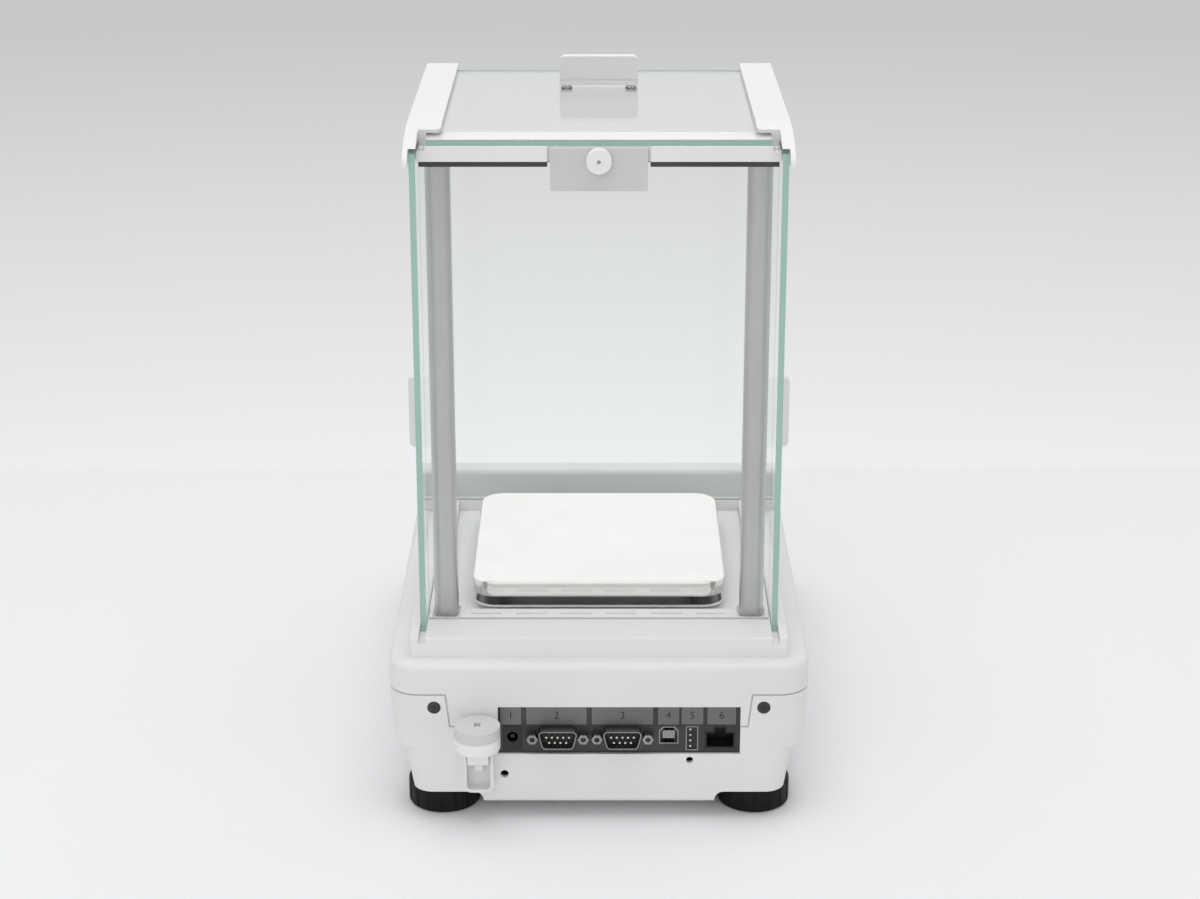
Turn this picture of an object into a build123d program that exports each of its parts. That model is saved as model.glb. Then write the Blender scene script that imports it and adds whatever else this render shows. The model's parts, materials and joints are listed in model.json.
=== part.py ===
import os
from math import atan2, cos, degrees, radians, sin, tan

from build123d import *

os.makedirs("parts", exist_ok=True)

# A precision balance with a glass draught shield, seen by its user from the front.
# Millimetres. +Z is up, the front faces -Y and the user's right hand is +X.
# The origin lies under the middle of the whole balance, on the table.
# Depths called front or rear of the pan are measured from the pan's upright axis.

# Housing
side_margin = 22.4
body_depth = 309.6
body_rear_r = 15.0
body_front_r = 22.0
wall = 2.6
seam_z = 67.5
seam_gap = 0.8
seam_front_drop = 21.5
ledge_height = 16.0
ledge_edge_r = 3.5
casing_bottom_z = 9.2
bottom_edge_r = 2.5
casing_draft = 2.8
step_z = 36.0
step_edge_r = 4.5
leg_bottom_inset = 12.0
leg_step_inset = 7.5
leg_corner_r = 10.0
leg_top_z = 45.0

# Console in front of the chamber
console_inset = 3.0
console_edge_r = 3.0
console_height = 25.8
console_flat = 12.0
console_front_drop = 1.5

# Spirit level on the rear wall
level_r = 11.2
level_standoff = 12.4
level_inset = 9.5
level_bottom_z = 44.2
level_top_z = 57.6
level_seam_z = 51.6
level_edge_r = 0.6
level_cup_edge_r = 2.0
level_slot_width = 3.0
level_slot_length = 4.0
level_slot_depth = 2.0
stem_width = 10.2
stem_shoulder_z = 35.3
stem_depth = 10.0
neck_width = 3.8
neck_end_z = 29.0
tray_width = 14.8
tray_depth = 8.0
tray_bottom_z = 18.6
tray_wall = 1.6
tray_corner_r = 4.0

# Levelling feet
foot_inset = 25.4
foot_rear_inset = 23.4
foot_front_inset = 40.0
wheel_r = 18.0
wheel_h = 14.0
wheel_edge_r = 2.0
wheel_grooves = 16
wheel_groove_r = 1.6
wheel_groove_depth = 0.6
wheel_seat_z = 4.0
pocket_margin = 2.5
pocket_gap = 1.0
pocket_arch_r = 4.5
foot_stem_r = 4.0
foot_stem_top_z = 38.0
sleeve_wall = 2.5
sleeve_length = 18.0
boss_wall = 2.5
running_fit = 0.05

# Chamber
pan_setback = 118.0
pan_margin = 14.0
pan_corner_r = 12.0
pan_rim = 8.0
pan_sheet = 1.2
pan_edge_r = 1.1
pan_height = 21.5
frame_inset = 10.5
frame_height = 10.5
frame_front = 88.5
frame_rear = 109.3
frame_corner_r = 2.0
frame_edge_r = 0.8
opening_inset = 14.5
opening_front = 80.0
opening_rear = 72.6
post_pad = 11.0
floor_height = 4.8
floor_sheet = 1.6
floor_play = 0.15
collar_r = 15.0
collar_height = 1.6
shaft_hole_r = 12.0
vent_count = 6
vent_pitch = 22.45
vent_length = 15.5
vent_width = 1.3
vent_depth = 2.5
vent_y = 78.4
cap_inset = 18.3
cap_y = 98.7
cap_r = 3.5
cap_depth = 2.0

# Glass
glass = 3.0
rear_glass = 2.5
door_inset = 6.0
door_play = 0.3
door_floor_height = 7.2
side_door_rear = 94.0
side_door_drop = 8.5
top_glass_drop = 6.0
top_glass_inset = 12.0
top_glass_front = 81.4
top_glass_rear = 87.7
front_pane_inset = 4.5
front_pane_lift = 7.5
front_pane_drop = 6.6
rear_pane_front = 83.6
rear_pane_inset = 8.5
rear_pane_lift = 8.5
rear_pane_drop = 14.0
pane_play = 0.2

# Posts, rails and latch
post_inset = 16.6
post_y = 75.8
post_size = 11.8
post_corner_r = 4.0
post_foot_r = 1.5
moat_depth = 1.0
moat_margin = 0.8
rail_top_z = 339.0
rail_height = 13.4
rail_inset = 1.9
rail_front = 85.0
rail_rear = 100.5
rail_bow = 42.5
rail_bow_mid = (81.7, 2.2)
rail_bow_low = (97.4, 8.0)
flange = 2.7
flange_inset = 18.4
flange_rear = 74.7
flange_corner_r = 3.0
lip_inset = 17.5
lip_thickness = 2.5
rail_wall_inset = 11.7
cross_rail_front = 65.0
cross_rail_rear = 88.0
shelf_drop = 2.5
peg_r = 1.2
peg_inset = 9.8
peg_y = 84.0
peg_height = 1.6
seal_height = 2.6
seal_wall = 0.9
plate_width = 45.6
plate_thickness = 2.0
plate_bottom_drop = 27.3
plate_top_drop = 7.0
plate_recess_width = 48.1
plate_recess_depth = 1.7
knob_r = 6.0
knob_drop = 12.3
knob_length = 5.0
knob_edge_r = 0.5
knob_shaft_r = 1.3
knob_shaft_length = 14.0
knob_hub_r = 1.8
knob_hub_height = 0.3
knob_hole_r = 0.95
knob_hole_depth = 2.0

# Door handles
handle_length = 40.0
handle_height = 15.9
handle_thickness = 6.0
handle_corner_r = 3.0
handle_gap = 1.2
handle_lip = 2.0
handle_lip_thickness = 7.0
handle_neck = 1.2
handle_neck_thickness = 4.6
handle_pitch = 32.8
standoff_r = 2.8
handle_screw_r = 1.5
handle_screw_length = 8.0
handle_head_r = 3.0
handle_head = 1.4
side_handle_y = 70.0
side_handle_z = 150.5
top_handle_y = 38.0

# Connectors in the rear wall
panel_right_x = 49.5
jack_inset = 7.1
jack_to_serial = 22.2
serial_pitch = 31.7
serial_to_square = 22.8
square_to_slim = 11.4
slim_to_network = 13.8
network_inset = 9.8
panel_drop = 6.5
panel_height = 25.4
panel_sink = 1.5
panel_flange = 1.5
panel_overlap = 1.2
panel_fit = 0.15
tab_margin = 5.2
tab_lean = 1.9
tab_drop = 16.6
board_setback = 15.0
board_thickness = 1.6
board_margin = 1.0
port_fit = 0.1
port_shell = 0.5
port_drop = 16.0
serial_width = 17.6
serial_foot_width = 14.9
serial_height = 8.5
serial_corner_r = 1.6
serial_reach = 6.0
serial_floor = 1.0
serial_pin_pitch = 2.77
serial_row_pitch = 2.84
serial_pin_r = 0.5
serial_pin_reach = 4.4
stud_pitch = 25.0
stud_width = 4.8
stud_bore_r = 1.3
stud_reach = 5.0
stud_bore_depth = 4.0
square_port_drop = 15.8
square_port_width = 8.6
square_port_height = 8.2
square_port_chamfer = 2.0
square_tongue_width = 5.8
square_tongue_height = 4.2
slim_port_drop = 17.5
slim_port_width = 5.1
slim_port_height = 12.0
slim_tongue_width = 1.9
slim_tongue_height = 10.6
port_depth = 9.0
tongue_step = 1.0
network_drop = 18.4
network_width = 13.2
network_height = 7.6
network_notch_width = 5.3
network_notch_height = 3.0
network_depth = 11.0
network_wall = 0.8
jack_drop = 17.2
jack_width = 9.0
jack_height = 12.6
jack_bore_drop = 16.7
jack_bore_r = 2.8
jack_bore_depth = 9.5
jack_pin_r = 1.0
cover_screw_inset = 6.1
cover_screw_drop = 6.8
cover_screw_r = 3.0
cover_screw_head = 1.0
cover_screw_sink = 0.4
cover_screw_shank_r = 1.5
cover_screw_length = 9.0
ear_width = 9.0
ear_depth = 8.0
ear_clear = 0.4
ear_drop = 11.5
low_hole = (4.1, 24.8, 2.05)
high_hole = (1.1, 32.3, 1.8)

# Display and main board
screen_inset = 25.0
screen_height = 80.0
screen_corner_r = 4.0
screen_glass = 1.1
screen_sink = 1.2
screen_play = 0.2
window_inset = 17.0
window_border = 7.0
module_margin = 3.0
module_depth = 6.0
board_half_width = 60.0
board_front_inset = 8.0
board_length = 62.0
board_z = 30.0
board_pillar_x = 54.0
board_pillar_inset = 7.0
chip_size = 18.0
chip_height = 2.0
header_size = (36.0, 6.0, 8.0)
can_r = 5.0
can_height = 10.0

# Weighing cell
base_half_width = 56.0
base_front = 122.0
base_rear = 52.0
base_plate_thickness = 5.0
base_z = 17.0
base_pillar_x = 49.0
base_pillar_inset = 8.0
pillar_r = 5.0
cell_half_width = 20.0
cell_foot = 8.0
cell_cheek = 7.0
cell_drop = 17.5
cell_rear = 14.0
cell_front = 60.0
cell_bridge = 15.0
cell_window_half_width = 8.0
cell_window_drops = (24.0, 6.0)
carrier_half_width = 12.0
carrier_half_depth = 8.0
carrier_bottom_z = 34.0
carrier_ledge = 6.0
leaf = 0.4
leaf_half_width = 9.0
leaf_seat = 4.0
lever_half_width = 5.0
lever_height = 7.0
lever_axis_y = 22.0
lever_axis_z = 50.0
lever_near = 9.5
trunnion_r = 2.0
coil_y = 96.0
coil_in_r = 10.5
coil_out_r = 13.5
coil_depth = 9.0
coil_top = 2.5
pot_out_r = 21.0
pot_in_r = 16.0
pot_core_r = 7.5
pot_base = 6.0
pot_top_z = 46.0
shaft_r = 5.0
shaft_pin_r = 4.0
shaft_shoulder_height = 4.7
pan_carrier_inset = 1.0
pan_carrier_sheet = 1.2
pan_carrier_height = 7.3
hub_r = 9.0
bumper_inset = 11.3
bumper_r = 4.5

# Places across the width that follow: the row of connectors sets the width of the housing
seat_gap = 0.3
jack_x = panel_right_x - jack_inset
serial_middles = (jack_x - jack_to_serial, jack_x - jack_to_serial - serial_pitch)
square_port_x = serial_middles[1] - serial_to_square
slim_port_x = square_port_x - square_to_slim
network_x = slim_port_x - slim_to_network
panel_left_x = network_x - network_inset
tab_half_width = tab_margin - panel_left_x
cover_screw_x = tab_half_width + cover_screw_inset
body_width = 2 * (cover_screw_x + side_margin)
leg_bottom_width = body_width - 2 * leg_bottom_inset
leg_step_width = body_width - 2 * leg_step_inset
console_width = body_width - 2 * console_inset
level_x = panel_right_x + level_inset
foot_x = body_width / 2 - foot_inset
frame_width = body_width - 2 * frame_inset
opening_half_width = frame_width / 2 - opening_inset
pan_size = 2 * (opening_half_width - pan_margin)
pan_carrier_size = pan_size - 2 * pan_carrier_inset
bumper_pitch = pan_size - 2 * bumper_inset
cap_x = frame_width / 2 - cap_inset
door_x = frame_width / 2 - door_inset
top_glass_half_width = frame_width / 2 - top_glass_inset
front_pane_half_width = frame_width / 2 - front_pane_inset
rear_pane_half_width = frame_width / 2 - rear_pane_inset
post_x = frame_width / 2 - post_inset
rail_out_x = frame_width / 2 - rail_inset
flange_in_x = frame_width / 2 - flange_inset
lip_in_x = frame_width / 2 - lip_inset
rail_wall_x = frame_width / 2 - rail_wall_inset
peg_x = frame_width / 2 - peg_inset
screen_width = console_width - 2 * screen_inset
window_width = screen_width - 2 * window_inset
window_height = screen_height - 2 * window_border
module_width = window_width + 2 * module_margin
module_height = window_height + 2 * module_margin

# Heights that follow from the seam, the ledge over it and the top of the rails
ledge_z = seam_z + ledge_height
console_front_z = seam_z - console_front_drop
seam_front_z = seam_z - seam_front_drop
pan_top_z = ledge_z + pan_height
pan_carrier_z = ledge_z + pan_carrier_height
shaft_shoulder_z = ledge_z + shaft_shoulder_height
door_floor_z = ledge_z + door_floor_height
front_pane_bottom_z = ledge_z + front_pane_lift
rear_pane_bottom_z = ledge_z + rear_pane_lift
cell_top_z = ledge_z - cell_drop
cell_window_z = (cell_top_z - cell_window_drops[0], cell_top_z - cell_window_drops[1])
rail_bottom_z = rail_top_z - rail_height
side_door_top_z = rail_top_z - side_door_drop
top_glass_z = rail_top_z - top_glass_drop
front_pane_top_z = rail_top_z - front_pane_drop
rear_pane_top_z = rail_top_z - rear_pane_drop
slot_top_z = top_glass_z
plate_bottom_z = rail_top_z - plate_bottom_drop
plate_top_z = rail_top_z - plate_top_drop
knob_z = rail_top_z - knob_drop
panel_top_z = seam_z - panel_drop
panel_bottom_z = panel_top_z - panel_height
tab_bottom_z = seam_z - tab_drop
cover_screw_z = seam_z - cover_screw_drop
ear_bottom_z = seam_z - ear_drop
port_z = panel_top_z - port_drop
square_port_z = panel_top_z - square_port_drop
slim_port_z = panel_top_z - slim_port_drop
network_z = panel_top_z - network_drop
jack_z = panel_top_z - jack_drop
jack_bore_z = panel_top_z - jack_bore_drop
rear_holes = (
    (jack_x + low_hole[0], low_hole[1], low_hole[2]),
    (slim_port_x + high_hole[0], high_hole[1], high_hole[2]),
)

# Depths that follow
front_y = -(body_depth + level_standoff + level_r) / 2
rear_y = front_y + body_depth
middle_y = (front_y + rear_y) / 2
level_y = rear_y + level_standoff
pan_y = rear_y - pan_setback
frame_top_z = ledge_z + frame_height
floor_z = ledge_z + floor_height
console_back_y = pan_y - frame_front - 0.5
console_top_z = ledge_z + console_height
pocket_z = wheel_h + pocket_gap
sleeve_r = foot_stem_r + running_fit + sleeve_wall
sleeve_top_z = pocket_z + sleeve_length
boss_r = sleeve_r + boss_wall
stem_relief_r = foot_stem_r + 1
wall_in_y = rear_y - wall
panel_y = rear_y - panel_sink
panel_back_y = wall_in_y - panel_flange
board_y = rear_y - board_setback
screw_seat_y = rear_y - cover_screw_sink - cover_screw_head
ear_y = (wall_in_y - ear_clear - ear_depth, wall_in_y - ear_clear)
slot_in_x = door_x - glass / 2 - door_play
slot_out_x = door_x + glass / 2 + door_play
door_in_x = door_x - glass / 2
door_out_x = door_x + glass / 2
front_pane_y = (pan_y - top_glass_front - glass, pan_y - top_glass_front)
rear_pane_y = (pan_y + rear_pane_front, pan_y + rear_pane_front + rear_glass)
side_door_y = (pan_y - top_glass_front + door_play, pan_y + side_door_rear)
cross_y = (pan_y + cross_rail_front, pan_y + cross_rail_rear)
cross_top_z = top_glass_z - door_play
groove_top_z = rail_top_z - flange
slope_top = (console_back_y - console_flat, console_top_z)
slope_foot = (front_y, console_front_z)
slope_angle = degrees(atan2(slope_top[1] - slope_foot[1], slope_top[0] - slope_foot[0]))
slope_plane = Plane(
    origin=(0, (slope_top[0] + slope_foot[0]) / 2, (slope_top[1] + slope_foot[1]) / 2),
    x_dir=(1, 0, 0),
    z_dir=(0, -sin(radians(slope_angle)), cos(radians(slope_angle))),
)
foot_places = {
    "front_left": (-foot_x, front_y + foot_front_inset),
    "front_right": (foot_x, front_y + foot_front_inset),
    "rear_left": (-foot_x, rear_y - foot_rear_inset),
    "rear_right": (foot_x, rear_y - foot_rear_inset),
}
base_y = (pan_y - base_front, pan_y + base_rear)
base_top_z = base_z + base_plate_thickness
board_flat_y = (front_y + board_front_inset, front_y + board_front_inset + board_length)
board_top_z = board_z + board_thickness


def keep(piece, name):
    """Label a finished piece and write its file."""
    piece.part.label = name
    export_step(piece.part, f"parts/{name}.step")


def block(x, y, z, mode=Mode.ADD):
    """A box between two limits along each axis."""
    middle = [(low + high) / 2 for low, high in (x, y, z)]
    with Locations(Location(middle)):
        Box(x[1] - x[0], y[1] - y[0], z[1] - z[0], mode=mode)


def pillar(r, x, y, z, mode=Mode.ADD):
    """An upright cylinder between two heights."""
    with Locations(Location((x, y, (z[0] + z[1]) / 2))):
        Cylinder(r, z[1] - z[0], mode=mode)


def pin(r, x, y, z, mode=Mode.ADD):
    """A cylinder from front to back between two depths."""
    with Locations(Location((x, (y[0] + y[1]) / 2, z), (90, 0, 0))):
        Cylinder(r, y[1] - y[0], mode=mode)


def axle(r, x, y, z, mode=Mode.ADD):
    """A cylinder from side to side between two widths."""
    with Locations(Location(((x[0] + x[1]) / 2, y, z), (0, 90, 0))):
        Cylinder(r, x[1] - x[0], mode=mode)


def around(middle, half):
    """The two limits at a distance either side of a middle."""
    return (middle - half, middle + half)


# Forms shared by the lower casing and the upper cover

def housing_plan(width, inset):
    """Plan of the housing in the open sketch, its corners wider at the front."""
    for side in (-1, 1):
        for y, inward, r in ((rear_y, -1, body_rear_r), (front_y, 1, body_front_r)):
            with Locations((side * (width / 2 - r), y + inward * r)):
                Circle(r - inset)
    make_hull()


def drafted_width(z):
    """Width of the drafted sides at a height below the seam."""
    return body_width - 2 * (seam_z - z) * tan(radians(casing_draft))


def leg_width(z):
    """Width of the leaning foot part at a height."""
    rise = (z - casing_bottom_z) / (step_z - casing_bottom_z)
    return leg_bottom_width + rise * (leg_step_width - leg_bottom_width)


def tub_form(inset):
    """The drafted middle of the housing up to the seam line."""
    low = step_z + inset
    with BuildPart() as tub:
        with BuildSketch(Plane.XY.offset(low)):
            housing_plan(drafted_width(low), inset)
        with BuildSketch(Plane.XY.offset(seam_z)):
            housing_plan(body_width, inset)
        loft(ruled=True)
        if inset == 0:
            fillet(tub.faces().sort_by(Axis.Z)[0].edges(), radius=step_edge_r)
    return tub.part


def top_form(inset):
    """The upright top of the housing from the seam line to the ledge."""
    with BuildPart() as top:
        with BuildSketch(Plane.XY.offset(seam_z)):
            housing_plan(body_width, inset)
        extrude(amount=ledge_z - seam_z - inset)
        if inset == 0:
            fillet(top.faces().sort_by(Axis.Z)[-1].edges(), radius=ledge_edge_r)
    return top.part


def leg_form(inset):
    """The leaning foot part, which reaches up into the drafted middle."""
    with BuildPart() as legs:
        for z in (casing_bottom_z + inset, leg_top_z):
            with BuildSketch(Plane.XY.offset(z)):
                with Locations((0, middle_y)):
                    RectangleRounded(
                        leg_width(z) - 2 * inset, body_depth - 2 * inset, leg_corner_r - inset
                    )
        loft(ruled=True)
        if inset == 0:
            fillet(legs.faces().sort_by(Axis.Z)[0].edges(), radius=bottom_edge_r)
    return legs.part


def console_form(inset):
    """The raised console with its sloping top, or its cavity when inset."""
    with BuildPart() as form:
        with BuildSketch(Plane.YZ):
            with BuildLine():
                Polyline(
                    (console_back_y, seam_front_z),
                    (console_back_y, console_top_z),
                    slope_top,
                    slope_foot,
                    (front_y, seam_front_z),
                    close=True,
                )
            make_face()
            if inset > 0:
                offset(amount=-inset, kind=Kind.INTERSECTION, mode=Mode.REPLACE)
        extrude(amount=console_width / 2 - inset, both=True)
        with BuildSketch(Plane.XY):
            housing_plan(console_width, inset)
        extrude(amount=2 * console_top_z, mode=Mode.INTERSECT)
        if inset == 0:
            flat = form.faces().filter_by(Axis.Z).sort_by(Axis.Z)[-1]
            fillet(flat.edges().filter_by(Axis.X).sort_by(Axis.Y)[-1], radius=console_edge_r)
    return form.part


def seam_cut(above, lift):
    """The space above or below the seam line when the line is moved up by lift."""
    far_z = 2 * console_top_z if above else -1
    with BuildPart() as half:
        with BuildSketch(Plane.YZ):
            with BuildLine():
                Polyline(
                    (front_y - 1, far_z),
                    (rear_y + 1, far_z),
                    (rear_y + 1, seam_z + lift),
                    (console_back_y, seam_z + lift),
                    (front_y - 1, seam_front_z + lift),
                    close=True,
                )
            make_face()
        extrude(amount=body_width, both=True)
    return half.part


def tab_form(grow):
    """The tab of the cover in the outer half of the rear wall, grown at its edges."""
    shoulder = tab_half_width + grow
    foot = shoulder - tab_lean
    with BuildPart() as tab:
        with BuildSketch(Plane.XZ.offset(-rear_y)):
            with BuildLine():
                Polyline(
                    (-shoulder, seam_z + seam_gap),
                    (shoulder, seam_z + seam_gap),
                    (shoulder, seam_z - seam_gap / 2),
                    (foot, tab_bottom_z - grow),
                    (-foot, tab_bottom_z - grow),
                    (-shoulder, seam_z - seam_gap / 2),
                    close=True,
                )
            make_face()
        extrude(amount=wall / 2)
    return tab.part


def foot_pocket(x, y, grow):
    """Space round one foot wheel, open at the corner of the housing."""
    side = 1 if x > 0 else -1
    end = 1 if y > middle_y else -1
    r = wheel_r + pocket_margin + grow
    with BuildPart() as pocket:
        with BuildSketch(Plane.XY):
            with Locations((x, y)):
                Circle(r)
            with Locations((x + 2 * side * r, y + end * r)):
                Rectangle(4 * r, 4 * r)
            with Locations((x + side * r, y + 2 * end * r)):
                Rectangle(4 * r, 4 * r)
        extrude(amount=pocket_z + grow)
        if grow == 0:
            fillet(pocket.faces().sort_by(Axis.Z)[-1].edges(), radius=pocket_arch_r)
    return pocket.part


outer_tub = tub_form(0)
inner_tub = tub_form(wall)
middle_tub = tub_form(wall / 2)
outer_top = top_form(0)
inner_top = top_form(wall)
middle_top = top_form(wall / 2)
outer_legs = leg_form(0)
inner_legs = leg_form(wall)
outer_console = console_form(0)
inner_console = console_form(wall)
pockets = [foot_pocket(x, y, 0) for x, y in foot_places.values()]
pocket_shells = [foot_pocket(x, y, wall) for x, y in foot_places.values()]
tab_space = tab_form(seam_gap)
tab_piece = tab_form(0)
above_casing = seam_cut(True, -seam_gap / 2)
above_tongue = seam_cut(True, seam_gap / 2)
below_cover = seam_cut(False, seam_gap / 2)

# The space in front of and over the console slope
with BuildPart() as slope_space:
    with BuildSketch(Plane.YZ):
        with BuildLine():
            Polyline(
                slope_top,
                (front_y - wall, slope_foot[1] - wall * tan(radians(slope_angle))),
                (front_y - wall, console_top_z),
                close=True,
            )
        make_face()
    extrude(amount=body_width, both=True)

# What is hollow inside the lower casing
with BuildPart() as casing_cavity:
    add(inner_tub)
    add(inner_legs)
    add(inner_top)
    for shell in pocket_shells:
        add(shell, mode=Mode.SUBTRACT)
    for x, y in foot_places.values():
        pillar(boss_r, x, y, (0, foot_stem_top_z + seat_gap + wall), Mode.SUBTRACT)
    for x in (-base_pillar_x, base_pillar_x):
        for y in (base_y[0] + base_pillar_inset, base_y[1] - base_pillar_inset):
            pillar(pillar_r, x, y, (0, base_z), Mode.SUBTRACT)
    for x in (-board_pillar_x, board_pillar_x):
        for y in (board_flat_y[0] + board_pillar_inset, board_flat_y[1] - board_pillar_inset):
            pillar(pillar_r, x, y, (0, board_z), Mode.SUBTRACT)

# Lower casing: a drafted tub over a narrower foot part, with a pocket for each foot wheel
with BuildPart() as lower_casing:
    add(outer_tub)
    add(outer_legs)
    add(above_casing, mode=Mode.SUBTRACT)
    add(middle_tub)
    add(middle_top)
    add(above_tongue, mode=Mode.SUBTRACT)
    add(tab_space, mode=Mode.SUBTRACT)
    add(casing_cavity.part, mode=Mode.SUBTRACT)
    for pocket in pockets:
        add(pocket, mode=Mode.SUBTRACT)
    for x, y in foot_places.values():
        pillar(sleeve_r, x, y, (0, sleeve_top_z), Mode.SUBTRACT)
        pillar(stem_relief_r, x, y, (0, foot_stem_top_z + seat_gap), Mode.SUBTRACT)
    for x, z, r in rear_holes:
        pin(r, x, (rear_y - 2 * wall, rear_y + 1), z, Mode.SUBTRACT)
    block(
        (panel_left_x, panel_right_x),
        (rear_y - 2 * wall, rear_y + 1),
        (panel_bottom_z, panel_top_z),
        Mode.SUBTRACT,
    )
    for x in (-cover_screw_x, cover_screw_x):
        head_y = (screw_seat_y, rear_y + 1)
        pin(cover_screw_r + seat_gap, x, head_y, cover_screw_z, Mode.SUBTRACT)
        pin(cover_screw_shank_r, x, (rear_y - 2 * wall, rear_y), cover_screw_z, Mode.SUBTRACT)
keep(lower_casing, "lower_casing")

# What is hollow inside the upper cover
with BuildPart() as cover_cavity:
    add(inner_tub)
    add(inner_top)
    with Locations(Location((0, 0, -wall / cos(radians(slope_angle))))):
        add(slope_space.part, mode=Mode.SUBTRACT)
    add(inner_console)

# Upper cover: the ledge round the chamber, the console and a tab that reaches the connectors
with BuildPart() as upper_cover:
    add(outer_tub)
    add(outer_top)
    add(outer_console)
    add(slope_space.part, mode=Mode.SUBTRACT)
    add(below_cover, mode=Mode.SUBTRACT)
    add(cover_cavity.part, mode=Mode.SUBTRACT)
    add(tab_piece)
    block(
        (panel_left_x, panel_right_x),
        (rear_y - wall, rear_y + 1),
        (panel_bottom_z, panel_top_z),
        Mode.SUBTRACT,
    )
    for x in (-cover_screw_x, cover_screw_x):
        block(around(x, ear_width / 2), ear_y, (ear_bottom_z, ledge_z - wall / 2))
        pin(cover_screw_shank_r, x, (ear_y[0] - 1, ear_y[1] + 1), cover_screw_z, Mode.SUBTRACT)
    pillar(shaft_hole_r, 0, pan_y, (seam_z, ledge_z + 1), Mode.SUBTRACT)
    with BuildSketch(slope_plane):
        RectangleRounded(screen_width, screen_height, screen_corner_r)
    extrude(amount=-screen_sink, mode=Mode.SUBTRACT)
    with BuildSketch(slope_plane):
        Rectangle(window_width, window_height)
    extrude(amount=-2 * wall, mode=Mode.SUBTRACT)
keep(upper_cover, "upper_cover")

# Touch display: the glass in its recess and the module under the window
with BuildPart() as display_glass:
    with BuildSketch(slope_plane.offset(-screen_sink)):
        RectangleRounded(
            screen_width - 2 * screen_play, screen_height - 2 * screen_play, screen_corner_r
        )
    extrude(amount=screen_glass)
keep(display_glass, "display_glass")

with BuildPart() as display_module:
    with BuildSketch(slope_plane.offset(-wall)):
        Rectangle(module_width, module_height)
    extrude(amount=-module_depth)
    with BuildSketch(slope_plane.offset(-wall)):
        Rectangle(window_width - 2 * screen_play, window_height - 2 * screen_play)
    extrude(amount=wall - screen_sink)
keep(display_module, "display_module")

# Main board on pillars under the console, with a processor, a header and two capacitors
with BuildPart() as main_board:
    board_middle_y = sum(board_flat_y) / 2
    block(around(0, board_half_width), board_flat_y, (board_z, board_top_z))
    block(
        around(-board_half_width / 3, chip_size / 2),
        around(board_middle_y, chip_size / 2),
        (board_top_z, board_top_z + chip_height),
    )
    block(
        around(board_half_width / 3, header_size[0] / 2),
        around(board_flat_y[1] - 2 * header_size[1], header_size[1] / 2),
        (board_top_z, board_top_z + header_size[2]),
    )
    for x in (2 * can_r, 5 * can_r):
        pillar(can_r, x, board_middle_y, (board_top_z, board_top_z + can_height))
keep(main_board, "main_board")

# Levelling feet: a grooved wheel, a threaded stem and a sleeve in the casing for each
with BuildPart() as foot_sleeves:
    for x, y in foot_places.values():
        pillar(sleeve_r, x, y, (pocket_z, sleeve_top_z))
        pillar(foot_stem_r + running_fit, x, y, (pocket_z, sleeve_top_z), Mode.SUBTRACT)
keep(foot_sleeves, "foot_sleeves")

for place, (wheel_x, wheel_y) in foot_places.items():
    with BuildPart() as foot_stem:
        pillar(foot_stem_r, wheel_x, wheel_y, (wheel_seat_z, foot_stem_top_z))
        chamfer(foot_stem.edges().group_by(Axis.Z)[-1], length=foot_stem_r / 5)
    keep(foot_stem, f"foot_stem_{place}")

    with BuildPart() as foot_wheel:
        pillar(wheel_r, wheel_x, wheel_y, (0, wheel_h))
        fillet(foot_wheel.edges().filter_by(GeomType.CIRCLE), radius=wheel_edge_r)
        with Locations(Location((wheel_x, wheel_y, wheel_h / 2))):
            with PolarLocations(wheel_r + wheel_groove_r - wheel_groove_depth, wheel_grooves):
                Cylinder(wheel_groove_r, wheel_h, mode=Mode.SUBTRACT)
        bore_z = (wheel_seat_z, wheel_h + 1)
        pillar(foot_stem_r + running_fit, wheel_x, wheel_y, bore_z, Mode.SUBTRACT)
    keep(foot_wheel, f"foot_wheel_{place}")

# Screws that hold the cover to the casing
with BuildPart() as cover_screws:
    for x in (-cover_screw_x, cover_screw_x):
        pin(cover_screw_r, x, (screw_seat_y, screw_seat_y + cover_screw_head), cover_screw_z)
        pin(
            cover_screw_shank_r,
            x,
            (screw_seat_y - cover_screw_length, screw_seat_y),
            cover_screw_z,
        )
keep(cover_screws, "cover_screws")


# Outlines of the connectors, all drawn from behind and shared by their windows

def serial_profile(middle, grow):
    """Outline of a serial port in the open sketch, wider at the top."""
    for side in (-1, 1):
        for width, end in ((serial_width, 1), (serial_foot_width, -1)):
            x = middle + side * (width / 2 - serial_corner_r)
            z = port_z + end * (serial_height / 2 - serial_corner_r)
            with Locations((x, z)):
                Circle(serial_corner_r + grow)
    make_hull()


def network_profile(grow, mode=Mode.ADD):
    """Outline of the network socket in the open sketch, with the notch for its latch."""
    with Locations((network_x, network_z)):
        Rectangle(network_width + 2 * grow, network_height + 2 * grow, mode=mode)
    with Locations((network_x, network_z + (network_height + network_notch_height) / 2)):
        Rectangle(
            network_notch_width + 2 * grow, network_notch_height + 2 * grow, mode=mode
        )


def square_outline(grow):
    """Corner points of the square port, its top corners cut."""
    half = square_port_width / 2 + grow
    low = square_port_z - square_port_height / 2 - grow
    high = square_port_z + square_port_height / 2 + grow
    cut = square_port_chamfer
    return [
        (square_port_x - half, low),
        (square_port_x + half, low),
        (square_port_x + half, high - cut),
        (square_port_x + half - cut, high),
        (square_port_x - half + cut, high),
        (square_port_x - half, high - cut),
    ]


port_plane = Plane.XZ.offset(-board_y)
port_length = panel_y - board_y
stud_places = [middle + side * stud_pitch / 2 for middle in serial_middles for side in (-1, 1)]
slim_half = (slim_port_width / 2 + port_shell, slim_port_height / 2 + port_shell)

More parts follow.
